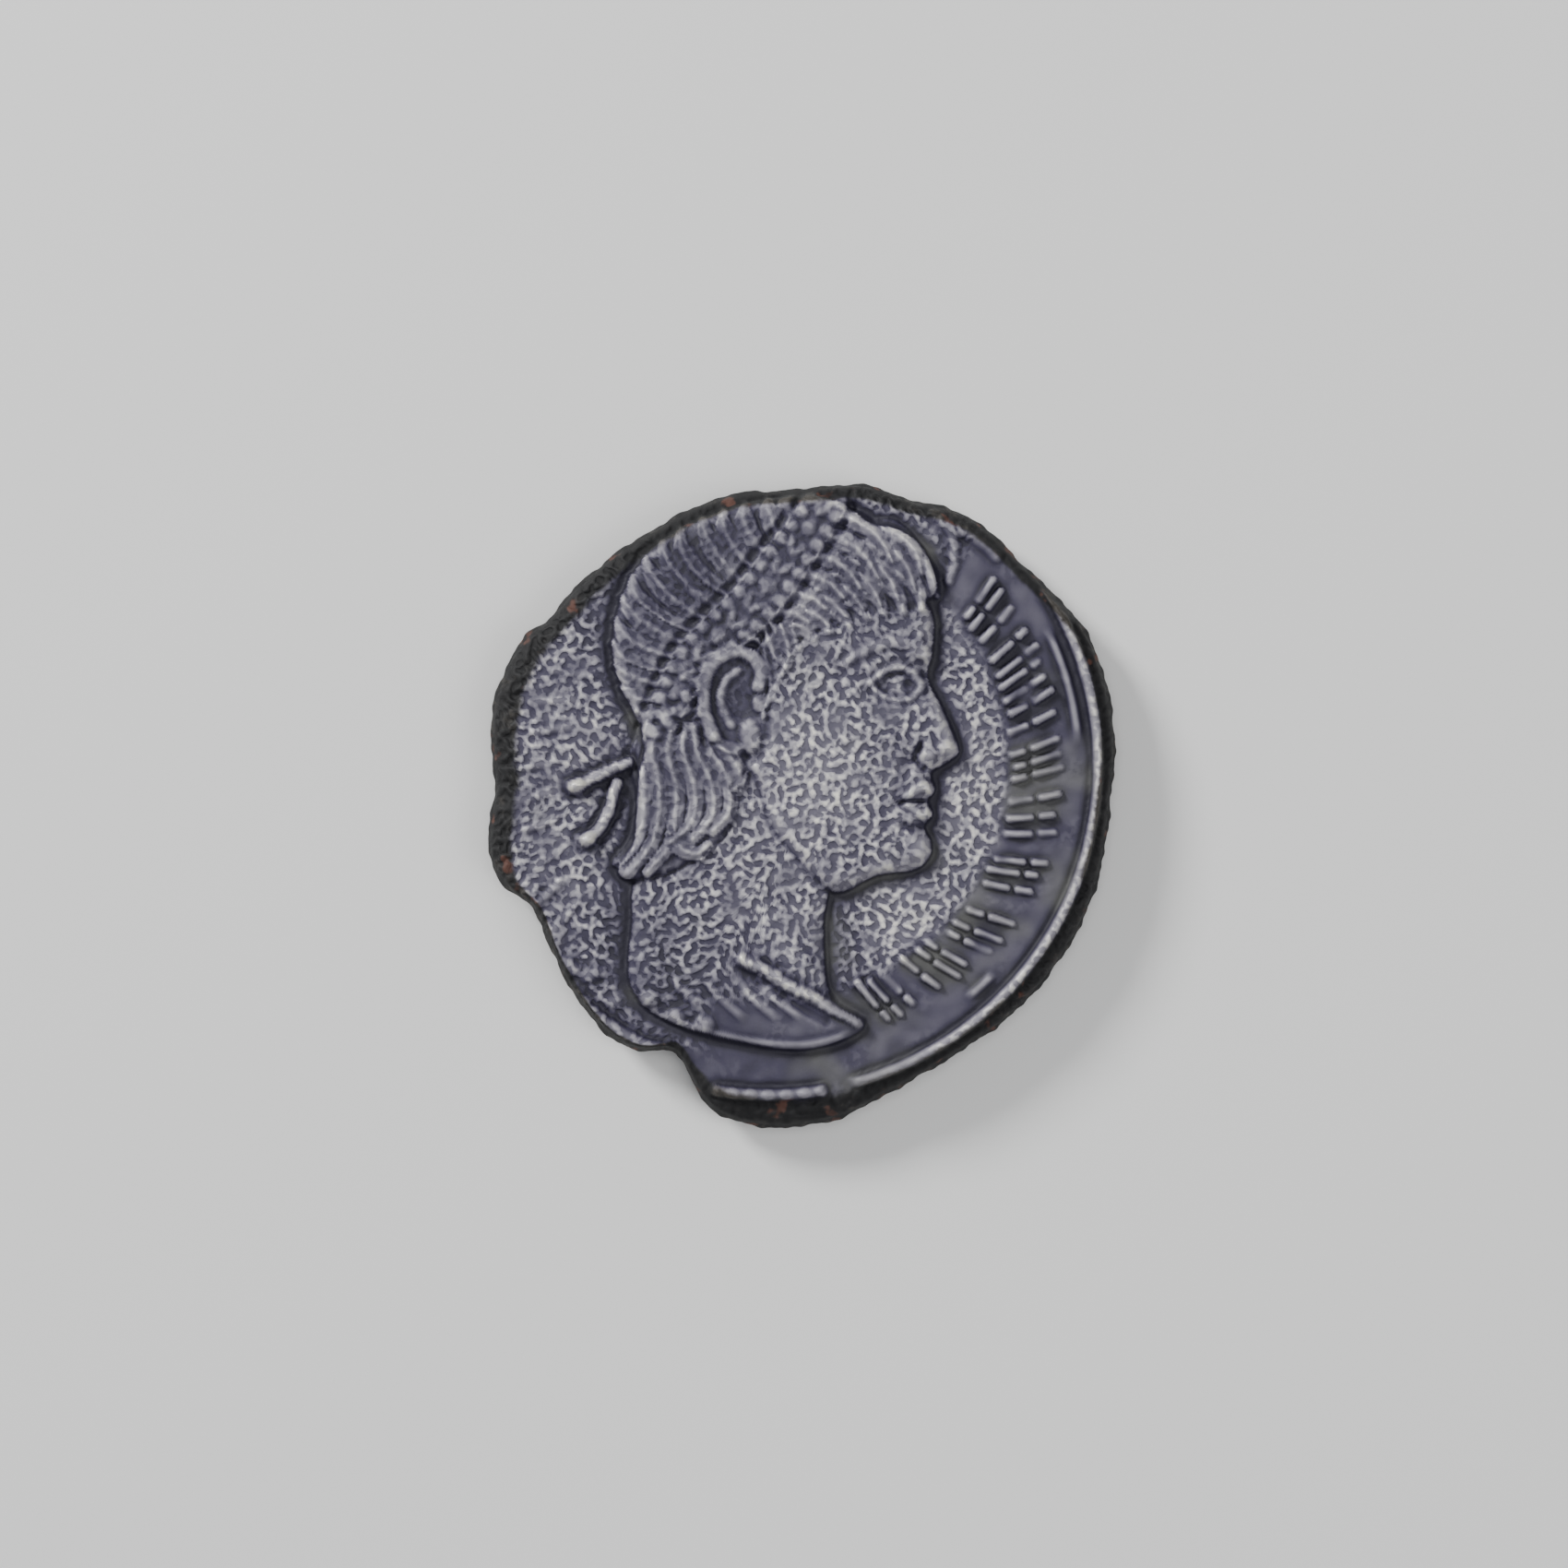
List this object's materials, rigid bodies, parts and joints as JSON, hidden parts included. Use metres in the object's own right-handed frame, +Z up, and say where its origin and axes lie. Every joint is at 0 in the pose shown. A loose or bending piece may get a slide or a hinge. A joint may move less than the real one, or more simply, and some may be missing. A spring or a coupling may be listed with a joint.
{
  "type": "roman bronze coin",
  "caption": "Small struck bronze coin, worn and chipped, with a diademed head in profile on one side and a wreath on the other.",
  "frame": {"origin": "under the middle of the coin, on the plane where the worn tops of the reverse rest", "axes": "+Z up out of the portrait side, +Y towards the top of the head, +X the way the head looks"},
  "size_m": [0.0166, 0.017, 0.002],
  "materials": {
    "patinated_bronze": "grey patina on struck bronze, pitted and worn brighter on the high relief, with darker brown edges"
  },
  "bodies": {
    "root": {"coin": "patinated_bronze"}
  },
  "joints": []
}
